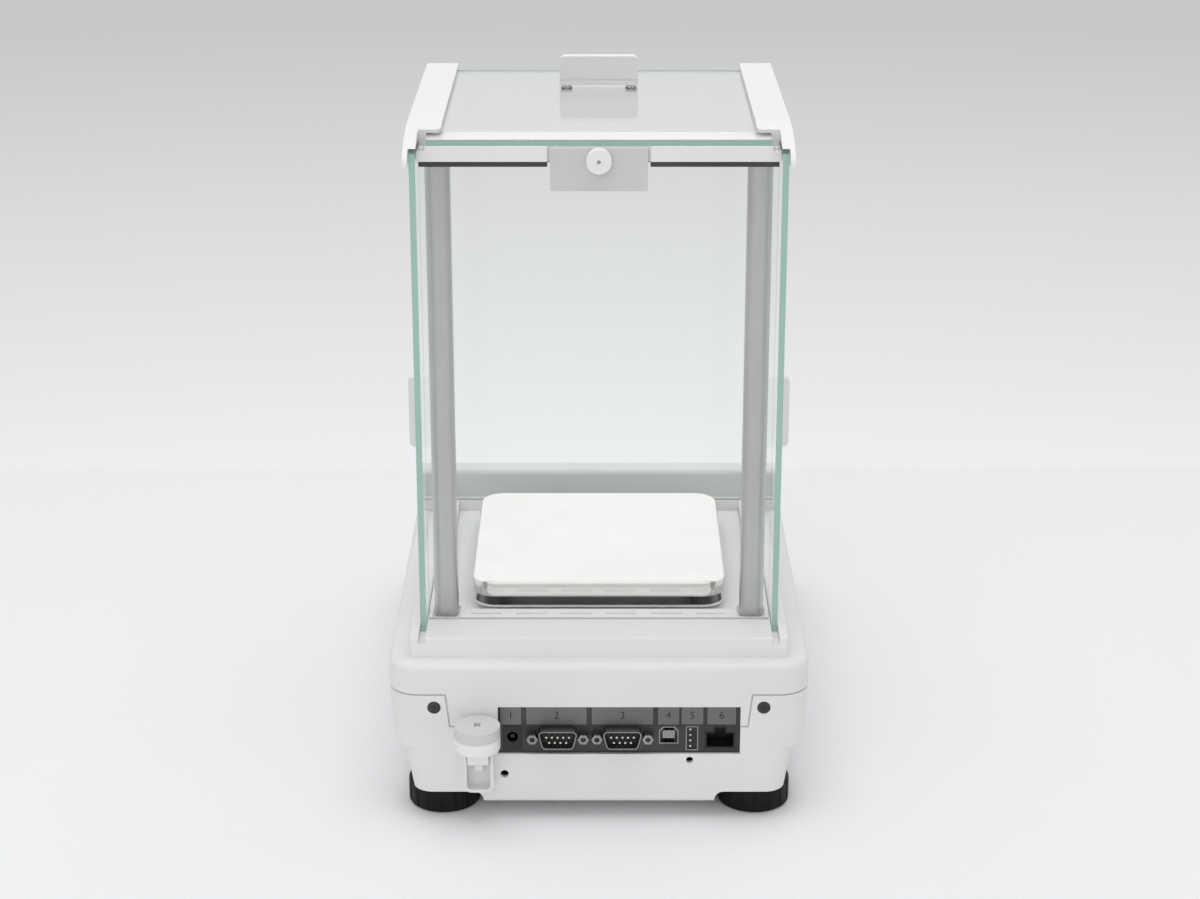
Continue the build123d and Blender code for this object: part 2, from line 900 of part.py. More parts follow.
# Connector panel: a plate in the window with a flange behind the wall
with BuildPart() as connector_panel:
    block(
        (panel_left_x + panel_fit, panel_right_x - panel_fit),
        (panel_back_y, panel_y),
        (panel_bottom_z + panel_fit, panel_top_z - panel_fit),
    )
    block(
        (panel_left_x - panel_overlap, panel_right_x + panel_overlap),
        (panel_back_y, wall_in_y),
        (panel_bottom_z - panel_overlap, panel_top_z + panel_overlap),
    )
    for middle in serial_middles:
        with BuildSketch(Plane.XZ.offset(-panel_y)):
            serial_profile(middle, port_shell + port_fit)
        extrude(amount=panel_y - panel_back_y, mode=Mode.SUBTRACT)
    with BuildSketch(Plane.XZ.offset(-panel_y)):
        network_profile(network_wall + port_fit)
    extrude(amount=panel_y - panel_back_y, mode=Mode.SUBTRACT)
    with BuildSketch(Plane.XZ.offset(-panel_y)):
        with BuildLine():
            Polyline(*square_outline(port_shell + port_fit), close=True)
        make_face()
    extrude(amount=panel_y - panel_back_y, mode=Mode.SUBTRACT)
    whole = (panel_back_y, panel_y)
    block(
        around(slim_port_x, slim_half[0] + port_fit),
        whole,
        around(slim_port_z, slim_half[1] + port_fit),
        Mode.SUBTRACT,
    )
    block(
        around(jack_x, jack_width / 2 + port_fit),
        whole,
        around(jack_z, jack_height / 2 + port_fit),
        Mode.SUBTRACT,
    )
    for x in stud_places:
        pin(stud_bore_r, x, whole, port_z, Mode.SUBTRACT)
keep(connector_panel, "connector_panel")

# Serial ports: a shell, an insert with nine pins and a hexagonal stud at each side
with BuildPart() as serial_shells:
    for middle in serial_middles:
        with BuildSketch(port_plane):
            serial_profile(middle, port_shell)
        extrude(amount=-(port_length + serial_reach))
        with BuildSketch(port_plane):
            serial_profile(middle, 0)
        extrude(amount=-(port_length + serial_reach), mode=Mode.SUBTRACT)
keep(serial_shells, "serial_shells")

with BuildPart() as serial_inserts:
    for middle in serial_middles:
        with BuildSketch(port_plane):
            serial_profile(middle, -port_fit)
        extrude(amount=-(port_length + serial_floor))
        for row, count in ((1, 5), (-1, 4)):
            for place in range(count):
                x = middle + (place - (count - 1) / 2) * serial_pin_pitch
                z = port_z + row * serial_row_pitch / 2
                pin(serial_pin_r, x, (board_y, panel_y + serial_reach), z, Mode.SUBTRACT)
keep(serial_inserts, "serial_inserts")

with BuildPart() as serial_pins:
    for middle in serial_middles:
        for row, count in ((1, 5), (-1, 4)):
            for place in range(count):
                x = middle + (place - (count - 1) / 2) * serial_pin_pitch
                z = port_z + row * serial_row_pitch / 2
                pin(serial_pin_r, x, (board_y, panel_y + serial_floor + serial_pin_reach), z)
keep(serial_pins, "serial_pins")

with BuildPart() as port_studs:
    for x in stud_places:
        with BuildSketch(Plane.XZ.offset(-panel_y)):
            with Locations((x, port_z)):
                RegularPolygon(stud_width / 2, 6, major_radius=False)
        extrude(amount=-stud_reach)
        pin(stud_bore_r, x, (panel_back_y, panel_y + 1), port_z)
        bore_y = (panel_y + stud_reach - stud_bore_depth, panel_y + stud_reach)
        pin(stud_bore_r, x, bore_y, port_z, Mode.SUBTRACT)
keep(port_studs, "port_studs")

# The square and the slim port, each a shell with its tongue
with BuildPart() as square_port:
    with BuildSketch(port_plane):
        with BuildLine():
            Polyline(*square_outline(port_shell), close=True)
        make_face()
    extrude(amount=-port_length)
    with BuildSketch(Plane.XZ.offset(-panel_y)):
        with BuildLine():
            Polyline(*square_outline(0), close=True)
        make_face()
    extrude(amount=port_depth, mode=Mode.SUBTRACT)
    block(
        around(square_port_x, square_tongue_width / 2),
        (panel_y - port_depth, panel_y - tongue_step),
        around(square_port_z, square_tongue_height / 2),
    )
keep(square_port, "square_port")

with BuildPart() as slim_port:
    block(
        around(slim_port_x, slim_half[0]), (board_y, panel_y), around(slim_port_z, slim_half[1])
    )
    block(
        around(slim_port_x, slim_port_width / 2),
        (panel_y - port_depth, panel_y),
        around(slim_port_z, slim_port_height / 2),
        Mode.SUBTRACT,
    )
    block(
        around(slim_port_x + slim_port_width / 2 - slim_tongue_width, slim_tongue_width / 2),
        (panel_y - port_depth, panel_y - tongue_step),
        around(slim_port_z, slim_tongue_height / 2),
    )
keep(slim_port, "slim_port")

# Network socket: an open box with the latch notch in its roof
with BuildPart() as network_port:
    with BuildSketch(port_plane):
        network_profile(network_wall)
    extrude(amount=-port_length)
    with BuildSketch(Plane.XZ.offset(-panel_y)):
        network_profile(0)
    extrude(amount=network_depth, mode=Mode.SUBTRACT)
keep(network_port, "network_port")

# Power inlet: a block with a round socket and its centre pin
with BuildPart() as power_jack:
    block(
        around(jack_x, jack_width / 2), (board_y, panel_y), around(jack_z, jack_height / 2)
    )
    pin(jack_bore_r, jack_x, (panel_y - jack_bore_depth, panel_y), jack_bore_z, Mode.SUBTRACT)
    pin(jack_pin_r, jack_x, (panel_y - jack_bore_depth, panel_y - tongue_step), jack_bore_z)
keep(power_jack, "power_jack")

# Board behind the connectors, which carries all of them
with BuildPart() as connector_board:
    block(
        (panel_left_x - board_margin, panel_right_x + board_margin),
        (board_y - board_thickness, board_y),
        (panel_bottom_z - board_margin, panel_top_z),
    )
keep(connector_board, "connector_board")

# Spirit level: a tray on the rear wall, a stem, the cup and its cap
with BuildPart() as level_tray:
    tray_half = tray_width / 2
    with BuildSketch(Plane.XZ.offset(-rear_y)):
        with Locations((level_x, (tray_bottom_z + level_bottom_z) / 2)):
            outline = Rectangle(tray_width, level_bottom_z - tray_bottom_z)
        fillet(outline.vertices().group_by(Axis.Y)[0], radius=tray_corner_r)
    extrude(amount=-tray_depth)
    with BuildSketch(Plane.XZ.offset(-(rear_y + tray_wall))):
        with Locations((level_x, (tray_bottom_z + tray_wall + level_bottom_z) / 2)):
            hollow = Rectangle(
                tray_width - 2 * tray_wall, level_bottom_z - tray_bottom_z - tray_wall
            )
        fillet(hollow.vertices().group_by(Axis.Y)[0], radius=tray_corner_r - tray_wall)
    extrude(amount=-tray_depth, mode=Mode.SUBTRACT)
keep(level_tray, "level_tray")

with BuildPart() as level_stem:
    stem_y = (rear_y + tray_wall, rear_y + tray_wall + stem_depth)
    block(around(level_x, stem_width / 2), stem_y, (stem_shoulder_z, level_bottom_z))
    block(
        around(level_x, neck_width / 2),
        (stem_y[0], stem_y[0] + neck_width),
        (neck_end_z, stem_shoulder_z),
    )
keep(level_stem, "level_stem")

with BuildPart() as level_cup:
    pillar(level_r, level_x, level_y, (level_bottom_z, level_seam_z))
    rings = level_cup.edges().filter_by(GeomType.CIRCLE).sort_by(Axis.Z)
    fillet(rings[0], radius=level_cup_edge_r)
    chamfer(level_cup.edges().filter_by(GeomType.CIRCLE).sort_by(Axis.Z)[-1], length=seat_gap)
keep(level_cup, "level_cup")

with BuildPart() as level_cap:
    pillar(level_r, level_x, level_y, (level_seam_z, level_top_z))
    fillet(level_cap.edges().filter_by(GeomType.CIRCLE).sort_by(Axis.Z)[-1], radius=level_edge_r)
    block(
        around(level_x, level_slot_width / 2),
        around(level_y, level_slot_length / 2),
        (level_top_z - level_slot_depth, level_top_z),
        Mode.SUBTRACT,
    )
keep(level_cap, "level_cap")

# Weighing cell: base plate, fixed frame, guide leaves, carrier, coil lever and magnet
with BuildPart() as base_plate:
    block(around(0, base_half_width), base_y, (base_z, base_top_z))
keep(base_plate, "base_plate")

bridge_y = (pan_y - cell_front, pan_y - cell_front + cell_bridge)
foot_top_z = base_top_z + cell_foot
seat_z = carrier_bottom_z + carrier_ledge
lever_y = pan_y - lever_axis_y
carrier_front_y = pan_y - carrier_half_depth

with BuildPart() as cell_frame:
    cell_y = (pan_y - cell_front, pan_y + cell_rear)
    block(around(0, cell_half_width), cell_y, (base_top_z, foot_top_z))
    for side in (-1, 1):
        middle = side * (cell_half_width - cell_cheek / 2)
        block(around(middle, cell_cheek / 2), cell_y, (base_top_z, cell_top_z))
    block(around(0, cell_half_width), bridge_y, (base_top_z, cell_top_z))
    block(
        around(0, cell_half_width - cell_cheek),
        (bridge_y[1], bridge_y[1] + leaf_seat),
        (base_top_z, seat_z),
    )
    block(around(0, cell_window_half_width), bridge_y, cell_window_z, Mode.SUBTRACT)
    axle(
        trunnion_r + running_fit,
        around(0, cell_half_width),
        lever_y,
        lever_axis_z,
        Mode.SUBTRACT,
    )
keep(cell_frame, "cell_frame")

with BuildPart() as guide_leaves:
    block(
        around(0, leaf_half_width),
        (bridge_y[1] - leaf_seat, carrier_front_y + 2),
        (cell_top_z, cell_top_z + leaf),
    )
    for side in (-1, 1):
        strip = (lever_half_width + 1.5, cell_half_width - cell_cheek - 1)
        x = (strip[0], strip[1]) if side > 0 else (-strip[1], -strip[0])
        block(x, (bridge_y[1], carrier_front_y), (seat_z, seat_z + leaf))
keep(guide_leaves, "guide_leaves")

with BuildPart() as cell_carrier:
    block(
        around(0, carrier_half_width),
        around(pan_y, carrier_half_depth),
        (carrier_bottom_z, cell_top_z),
    )
    block(
        around(0, carrier_half_width),
        (carrier_front_y - leaf_seat, carrier_front_y),
        (carrier_bottom_z, seat_z),
    )
    pillar(shaft_r, 0, pan_y, (cell_top_z, shaft_shoulder_z))
    pillar(shaft_pin_r, 0, pan_y, (shaft_shoulder_z, pan_carrier_z + pan_carrier_sheet))
keep(cell_carrier, "cell_carrier")

lever_z = around(lever_axis_z, lever_height / 2)
coil_at_y = pan_y - coil_y
coil_z = (lever_z[0] - coil_depth, lever_z[0])

with BuildPart() as coil_lever:
    block(around(0, lever_half_width), (coil_at_y, pan_y - lever_near), lever_z)
    pillar(coil_out_r, 0, coil_at_y, (lever_z[0], lever_z[0] + coil_top))
    axle(trunnion_r, around(0, cell_half_width - 1), lever_y, lever_axis_z)
keep(coil_lever, "coil_lever")

with BuildPart() as coil:
    pillar(coil_out_r, 0, coil_at_y, coil_z)
    pillar(coil_in_r, 0, coil_at_y, coil_z, Mode.SUBTRACT)
keep(coil, "coil")

with BuildPart() as magnet_pot:
    pillar(pot_out_r, 0, coil_at_y, (base_top_z, pot_top_z))
    pillar(pot_in_r, 0, coil_at_y, (base_top_z + pot_base, pot_top_z), Mode.SUBTRACT)
    pillar(pot_core_r, 0, coil_at_y, (base_top_z, pot_top_z))
keep(magnet_pot, "magnet_pot")

# Frame of the draught shield: tracks for the side doors, grooves for the fixed panes
frame_y = (pan_y - frame_front, pan_y + frame_rear)
moat_half = post_size / 2 + moat_margin
post_at_y = pan_y + post_y
moat_z = frame_top_z - moat_depth
opening_y = (pan_y - opening_front, pan_y + opening_rear)


def opening_plan(play):
    """Plan of the chamber opening in the open sketch, with a pad under each post."""
    with Locations((0, sum(opening_y) / 2)):
        Rectangle(2 * (opening_half_width - play), opening_y[1] - opening_y[0] - 2 * play)
    for side in (-1, 1):
        with Locations((side * opening_half_width, opening_y[1])):
            Rectangle(2 * (post_pad + play), 2 * (post_pad / 2 + play), mode=Mode.SUBTRACT)


with BuildPart() as shield_frame:
    with BuildSketch(Plane.XY.offset(ledge_z)):
        with Locations((0, sum(frame_y) / 2)):
            RectangleRounded(frame_width, frame_y[1] - frame_y[0], frame_corner_r)
    extrude(amount=frame_height)
    fillet(shield_frame.faces().sort_by(Axis.Z)[-1].edges(), radius=frame_edge_r)
    with BuildSketch(Plane.XY.offset(ledge_z)):
        opening_plan(0)
    extrude(amount=frame_height, mode=Mode.SUBTRACT)
    for x in ((-slot_out_x, -slot_in_x), (slot_in_x, slot_out_x)):
        slot_y = (front_pane_y[1] - glass, frame_y[1] + 1)
        block(x, slot_y, (door_floor_z, frame_top_z), Mode.SUBTRACT)
    block(
        around(0, front_pane_half_width + door_play),
        (front_pane_y[0] - pane_play, front_pane_y[1] + pane_play),
        (front_pane_bottom_z, frame_top_z),
        Mode.SUBTRACT,
    )
    block(
        around(0, rear_pane_half_width + pane_play),
        (rear_pane_y[0] - pane_play, rear_pane_y[1] + pane_play),
        (rear_pane_bottom_z, frame_top_z),
        Mode.SUBTRACT,
    )
    for number in range(vent_count):
        x = (number - (vent_count - 1) / 2) * vent_pitch
        block(
            around(x, vent_length / 2),
            around(pan_y + vent_y, vent_width / 2),
            (frame_top_z - vent_depth, frame_top_z),
            Mode.SUBTRACT,
        )
    for side in (-1, 1):
        block(
            around(side * post_x, moat_half),
            around(post_at_y, moat_half),
            (moat_z, frame_top_z),
            Mode.SUBTRACT,
        )
        pillar(cap_r, side * cap_x, pan_y + cap_y, (frame_top_z - cap_depth, frame_top_z),
               Mode.SUBTRACT)
keep(shield_frame, "shield_frame")

with BuildPart() as frame_caps:
    for side in (-1, 1):
        pillar(cap_r, side * cap_x, pan_y + cap_y, (frame_top_z - cap_depth, frame_top_z))
keep(frame_caps, "frame_caps")

# Chamber floor: a tray with a collar round the pan shaft
with BuildPart() as chamber_floor:
    with BuildSketch(Plane.XY.offset(ledge_z)):
        opening_plan(floor_play)
    extrude(amount=floor_height)
    with BuildSketch(Plane.XY.offset(ledge_z)):
        opening_plan(floor_play + floor_sheet)
    extrude(amount=floor_height - floor_sheet, mode=Mode.SUBTRACT)
    pillar(collar_r, 0, pan_y, (floor_z - floor_sheet, floor_z + collar_height))
    pillar(shaft_hole_r, 0, pan_y, (ledge_z, floor_z + collar_height), Mode.SUBTRACT)
keep(chamber_floor, "chamber_floor")

# Pan carrier on the shaft, its four bumpers and the weighing pan
carrier_top_z = pan_carrier_z + pan_carrier_sheet
pan_under_z = pan_top_z - pan_sheet
bumper_places = [
    (sx * bumper_pitch / 2, pan_y + sy * bumper_pitch / 2) for sx in (-1, 1) for sy in (-1, 1)
]

with BuildPart() as pan_carrier:
    with BuildSketch(Plane.XY.offset(pan_carrier_z)):
        with Locations((0, pan_y)):
            RectangleRounded(pan_carrier_size, pan_carrier_size, pan_corner_r - 1)
    extrude(amount=pan_carrier_sheet)
    pillar(hub_r, 0, pan_y, (shaft_shoulder_z, pan_carrier_z))
    pillar(shaft_pin_r + running_fit, 0, pan_y, (shaft_shoulder_z, carrier_top_z), Mode.SUBTRACT)
keep(pan_carrier, "pan_carrier")

with BuildPart() as pan_bumpers:
    for x, y in bumper_places:
        pillar(bumper_r, x, y, (carrier_top_z, pan_under_z))
keep(pan_bumpers, "pan_bumpers")

with BuildPart() as weighing_pan:
    with BuildSketch(Plane.XY.offset(pan_top_z - pan_rim)):
        with Locations((0, pan_y)):
            RectangleRounded(pan_size, pan_size, pan_corner_r)
    extrude(amount=pan_rim)
    fillet(weighing_pan.faces().sort_by(Axis.Z)[-1].edges(), radius=pan_edge_r)
    with BuildSketch(Plane.XY.offset(pan_top_z - pan_rim)):
        with Locations((0, pan_y)):
            inner_size = pan_size - 2 * pan_sheet
            RectangleRounded(inner_size, inner_size, pan_corner_r - pan_sheet)
    extrude(amount=pan_rim - pan_sheet, mode=Mode.SUBTRACT)
keep(weighing_pan, "weighing_pan")

# Posts that carry the rear rail
with BuildPart() as posts:
    for side in (-1, 1):
        with BuildSketch(Plane.XY.offset(moat_z)):
            with Locations((side * post_x, post_at_y)):
                RectangleRounded(post_size, post_size, post_corner_r)
        extrude(amount=rail_bottom_z - moat_z)
    fillet(posts.faces().group_by(Axis.Z)[0].edges(), radius=post_foot_r)
keep(posts, "posts")

# Side rails: a flange over the top glass, a groove under it and a slot for the side door
rail_y = (pan_y - rail_front, pan_y + rail_rear)
flange_y = (rail_y[0], pan_y + flange_rear)
lip_z = (cross_top_z - lip_thickness, cross_top_z)

with BuildPart() as rail_right:
    with BuildSketch(Plane.XZ.offset(-flange_y[0])):
        with BuildLine():
            Polyline(
                (rail_out_x, rail_bottom_z),
                (rail_out_x, rail_top_z),
                (flange_in_x, rail_top_z),
                (flange_in_x, groove_top_z),
                (rail_wall_x, groove_top_z),
                (rail_wall_x, lip_z[1]),
                (lip_in_x, lip_z[1]),
                (lip_in_x, lip_z[0]),
                (rail_wall_x, lip_z[0]),
                (rail_wall_x, rail_bottom_z),
                (slot_in_x, rail_bottom_z),
                (slot_in_x, slot_top_z),
                (slot_out_x, slot_top_z),
                (slot_out_x, rail_bottom_z),
                close=True,
            )
        make_face()
    extrude(amount=flange_y[0] - flange_y[1])
    corner = rail_right.edges().filter_by(Axis.Z).sort_by(Axis.Y)
    corner = [edge for edge in corner if edge.center().X < lip_in_x and edge.center().Y > pan_y]
    fillet(corner, radius=flange_corner_r)
    block((slot_out_x, rail_out_x), (flange_y[1], rail_y[1]), (rail_bottom_z, rail_top_z))
    block((slot_in_x, slot_out_x), (flange_y[1], rail_y[1]), (slot_top_z, rail_top_z))
    with BuildSketch(Plane.YZ):
        with BuildLine():
            Line((rail_y[0], rail_bottom_z), (rail_y[0], rail_top_z))
            Line((rail_y[0], rail_top_z), (pan_y + rail_bow, rail_top_z))
            Spline(
                (pan_y + rail_bow, rail_top_z),
                (pan_y + rail_bow_mid[0], rail_top_z - rail_bow_mid[1]),
                (pan_y + rail_bow_low[0], rail_top_z - rail_bow_low[1]),
                (rail_y[1], rail_bottom_z),
                tangents=((1, 0), (0, -1)),
            )
            Line((rail_y[1], rail_bottom_z), (rail_y[0], rail_bottom_z))
        make_face()
    extrude(amount=rail_out_x, mode=Mode.INTERSECT)
    block(
        (lip_in_x - 1, front_pane_half_width + door_play),
        (rail_y[0] - 1, front_pane_y[1]),
        (rail_bottom_z, cross_top_z),
        Mode.SUBTRACT,
    )
    block(
        (lip_in_x - 1, slot_in_x),
        (cross_y[0], flange_y[1] + 1),
        (rail_bottom_z, cross_top_z),
        Mode.SUBTRACT,
    )
keep(rail_right, "rail_right")

with BuildPart() as rail_left:
    mirror(rail_right.part, about=Plane.YZ)
keep(rail_left, "rail_left")

# Rear rail across the posts, recessed for the latch plate, lowered and pegged at its ends
with BuildPart() as rear_rail:
    block(around(0, slot_in_x), cross_y, (rail_bottom_z, cross_top_z))
    block(
        around(0, plate_recess_width / 2),
        (cross_y[1] - plate_recess_depth, cross_y[1]),
        (rail_bottom_z, cross_top_z),
        Mode.SUBTRACT,
    )
    for x in ((-slot_in_x, -rail_wall_x), (rail_wall_x, slot_in_x)):
        block(
            x,
            (flange_y[1], cross_y[1]),
            (cross_top_z - shelf_drop, cross_top_z),
            Mode.SUBTRACT,
        )
    shelf_z = cross_top_z - shelf_drop
    for side in (-1, 1):
        pillar(peg_r, side * peg_x, pan_y + peg_y, (shelf_z - 1, shelf_z + peg_height))
    latch_y = (cross_y[1] + seat_gap - knob_shaft_length, cross_y[1])
    pin(knob_shaft_r + running_fit, 0, latch_y, knob_z, Mode.SUBTRACT)
keep(rear_rail, "rear_rail")

with BuildPart() as rear_seals:
    for x in ((-rear_pane_half_width, -plate_recess_width / 2),
              (plate_recess_width / 2, rear_pane_half_width)):
        block(
            x,
            (rear_pane_y[0] - seal_wall, rear_pane_y[1] + seal_wall),
            (rail_bottom_z - seal_height, rail_bottom_z),
        )
    block(
        around(0, rear_pane_half_width),
        rear_pane_y,
        (rail_bottom_z - seal_height, rear_pane_top_z),
        Mode.SUBTRACT,
    )
keep(rear_seals, "rear_seals")

# Latch: the plate in the rear rail and a knob that turns a quarter
plate_y = (
    cross_y[1] - plate_recess_depth,
    cross_y[1] - plate_recess_depth + plate_thickness,
)
knob_y = (plate_y[1] + seat_gap, plate_y[1] + seat_gap + knob_length)

with BuildPart() as latch_plate:
    block(around(0, plate_width / 2), plate_y, (plate_bottom_z, plate_top_z))
    pin(knob_shaft_r + running_fit, 0, plate_y, knob_z, Mode.SUBTRACT)
keep(latch_plate, "latch_plate")

with BuildPart() as latch_knob:
    pin(knob_r, 0, knob_y, knob_z)
    fillet(latch_knob.edges().filter_by(GeomType.CIRCLE), radius=knob_edge_r)
    pin(knob_hub_r, 0, (knob_y[1] - 1, knob_y[1] + knob_hub_height), knob_z)
    pin(knob_shaft_r, 0, (knob_y[0] - knob_shaft_length + 1, knob_y[0]), knob_z)
    hole_y = (knob_y[1] - knob_hole_depth, knob_y[1] + knob_hub_height)
    pin(knob_hole_r, 0, hole_y, knob_z, Mode.SUBTRACT)
keep(latch_knob, "latch_knob")

# Fixed panes
with BuildPart() as front_pane:
    block(
        around(0, front_pane_half_width), front_pane_y, (front_pane_bottom_z, front_pane_top_z)
    )
keep(front_pane, "front_pane")

with BuildPart() as rear_pane:
    block(around(0, rear_pane_half_width), rear_pane_y, (rear_pane_bottom_z, rear_pane_top_z))
keep(rear_pane, "rear_pane")

# Sliding doors, each drilled for the two screws of its handle
handle_seats = {
    "right": Plane(
        origin=(door_out_x, pan_y - side_handle_y, side_handle_z),
        x_dir=(0, 0, 1),
        z_dir=(1, 0, 0),
    ),
    "left": Plane(
        origin=(-door_out_x, pan_y - side_handle_y, side_handle_z),
        x_dir=(0, 0, 1),
        z_dir=(-1, 0, 0),
    ),
    "top": Plane(
        origin=(0, pan_y - top_handle_y, top_glass_z + glass),
        x_dir=(1, 0, 0),
        z_dir=(0, 0, 1),
    ),
}
glass_sheets = {
    "right": ((door_in_x, door_out_x), side_door_y, (front_pane_bottom_z, side_door_top_z)),
    "left": ((-door_out_x, -door_in_x), side_door_y, (front_pane_bottom_z, side_door_top_z)),
    "top": (
        around(0, top_glass_half_width),
        (pan_y - top_glass_front, pan_y + top_glass_rear),
        (top_glass_z, top_glass_z + glass),
    ),
}
screw_spots = ((-handle_pitch / 2, 0), (handle_pitch / 2, 0))
lip_base = handle_gap + handle_lip
neck_base = lip_base + handle_neck

for name, seat in handle_seats.items():
    grip_side = Plane(origin=seat.origin, x_dir=seat.x_dir, z_dir=-seat.y_dir)

    with BuildPart() as door:
        block(*glass_sheets[name])
        with BuildSketch(seat):
            with Locations(*screw_spots):
                Circle(handle_screw_r + door_play)
        extrude(amount=-glass, mode=Mode.SUBTRACT)
    keep(door, f"{name}_door")

    with BuildPart() as handle:
        with BuildSketch(seat.offset(handle_gap)):
            Rectangle(handle_length, handle_lip_thickness)
        extrude(amount=handle_lip)
        with BuildSketch(seat.offset(lip_base)):
            neck_length = handle_length - handle_lip_thickness + handle_neck_thickness
            Rectangle(neck_length, handle_neck_thickness)
        extrude(amount=handle_neck)
        with BuildSketch(grip_side):
            with Locations((0, (neck_base + handle_height) / 2)):
                grip = Rectangle(handle_length, handle_height - neck_base)
            fillet(grip.vertices().group_by(Axis.Y)[-1], radius=handle_corner_r)
        extrude(amount=handle_thickness / 2, both=True)
        with BuildSketch(seat.offset(handle_gap)):
            with Locations(*screw_spots):
                Circle(handle_screw_r)
        extrude(amount=handle_screw_length, mode=Mode.SUBTRACT)
    keep(handle, f"{name}_handle")

    with BuildPart() as handle_screws:
        for spot in screw_spots:
            with BuildSketch(seat):
                with Locations(spot):
                    Circle(standoff_r)
            extrude(amount=handle_gap)
            with BuildSketch(seat.offset(-glass)):
                with Locations(spot):
                    Circle(handle_screw_r)
            extrude(amount=glass + handle_gap + handle_screw_length)
            with BuildSketch(seat.offset(-glass)):
                with Locations(spot):
                    Circle(handle_head_r)
            extrude(amount=-handle_head)
    keep(handle_screws, f"{name}_handle_screws")
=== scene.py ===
# Looks of a precision balance with a glass draught shield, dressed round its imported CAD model.
# Metres, +Z up. The front faces -Y, and the photograph looks at the rear from +Y.
import json
import math

import bmesh
import bpy
from mathutils import Euler, Matrix, Vector


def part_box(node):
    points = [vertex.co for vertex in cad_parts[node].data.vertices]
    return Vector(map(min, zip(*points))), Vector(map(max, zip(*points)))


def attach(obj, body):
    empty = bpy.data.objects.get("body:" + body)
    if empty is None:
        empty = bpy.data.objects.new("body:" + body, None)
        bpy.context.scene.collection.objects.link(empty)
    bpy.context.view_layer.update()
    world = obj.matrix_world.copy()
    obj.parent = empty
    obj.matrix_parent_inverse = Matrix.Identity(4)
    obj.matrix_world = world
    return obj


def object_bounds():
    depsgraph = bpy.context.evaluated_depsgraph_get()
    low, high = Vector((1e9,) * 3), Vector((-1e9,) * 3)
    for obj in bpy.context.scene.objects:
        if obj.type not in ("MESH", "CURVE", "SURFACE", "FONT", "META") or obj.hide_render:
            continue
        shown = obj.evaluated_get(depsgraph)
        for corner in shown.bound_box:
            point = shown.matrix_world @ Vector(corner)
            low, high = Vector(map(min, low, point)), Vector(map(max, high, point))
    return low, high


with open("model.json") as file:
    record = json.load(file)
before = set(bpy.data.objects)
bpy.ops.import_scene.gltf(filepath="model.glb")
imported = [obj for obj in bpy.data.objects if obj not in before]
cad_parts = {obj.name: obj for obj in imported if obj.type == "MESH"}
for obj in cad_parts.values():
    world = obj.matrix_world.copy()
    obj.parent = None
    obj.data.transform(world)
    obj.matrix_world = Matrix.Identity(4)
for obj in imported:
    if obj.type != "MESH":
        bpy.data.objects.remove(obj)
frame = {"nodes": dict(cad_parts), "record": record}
cad_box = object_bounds()
nodes = frame["nodes"]
scene = bpy.context.scene
MM = 0.001

# Camera of the photograph, found from the edges of the housing, the rails and the pan
camera_y = 1.2459
camera_z = 0.5859
camera_tilt = 70.464
camera_lens = 74.62
camera_sensor = 36
camera_shift_x = 0.0009

# Table and background
table_edge_y = -0.368
table_reach = 4.0
table_shade = "#F1F2F4"
table_rough = 0.9

# Grey drop behind the table: its shades by the rise of the line of sight, where a stop of 0 is
# drop_low, looking down, and a stop of 1 is drop_high, looking up
drop_low = -0.5
drop_high = 0.5
drop_stops = [
    (0.162, "#EEEFF1"),
    (0.261, "#DBDBDD"),
    (0.331, "#C8C8CA"),
    (0.5, "#C8C8CA"),
    (0.8, "#FFFFFF"),
]

# Lamps
sky_level = 0.62
ceiling_watts = 14.0
ceiling_size = 1.6
ceiling_place = (0, 0.1, 1.9)
window_watts = 9.0
window_size = 1.4
window_place = (0.5, 2.2, 1.3)

# Patterns of the finishes, in millimetres where they are lengths
plastic_drift = 45
metal_drift = 30
glass_haze = 25
track_pitch = 1.6
line_stretch = 60
noise_low = 0.3
noise_high = 0.7


def linear(shade):
    """A colour for a shader from its sRGB hex value."""
    parts = [int(shade[i:i + 2], 16) / 255 for i in (1, 3, 5)]
    bright = [c / 12.92 if c <= 0.04045 else ((c + 0.055) / 1.055) ** 2.4 for c in parts]
    return (*bright, 1.0)


def add_node(tree, kind, links=None, **settings):
    """Adds a node. Links holds its inputs, each a value or the socket that feeds it."""
    made = tree.nodes.new(kind)
    for name, value in settings.items():
        setattr(made, name, value)
    for place, value in (links or {}).items():
        if isinstance(value, bpy.types.NodeSocket):
            tree.links.new(value, made.inputs[place])
        else:
            made.inputs[place].default_value = value
    return made


def new_finish(name):
    """An empty material and its node tree."""
    finish = bpy.data.materials.new(name)
    finish.use_nodes = True
    finish.node_tree.nodes.clear()
    return finish, finish.node_tree


def show(tree, shader):
    """Ends a material with its surface shader."""
    add_node(tree, "ShaderNodeOutputMaterial", {"Surface": shader})


def blotches(tree, size_mm, stretch=(1, 1, 1), detail=2.0):
    """Noise with patches of about size_mm, drawn out along the axes where stretch is large."""
    where = add_node(tree, "ShaderNodeTexCoord").outputs["Object"]
    drawn = [1 / (size_mm * MM * s) for s in stretch]
    spread = add_node(tree, "ShaderNodeMapping", {"Vector": where, "Scale": drawn})
    links = {"Vector": spread.outputs[0], "Scale": 1.0, "Detail": detail}
    return add_node(tree, "ShaderNodeTexNoise", links).outputs[0]


def between(tree, share, low, high):
    """A number from low to high as share crosses the range that noise fills."""
    reach = {"From Min": noise_low, "From Max": noise_high, "To Min": low, "To Max": high}
    return add_node(tree, "ShaderNodeMapRange", {"Value": share, **reach}).outputs[0]


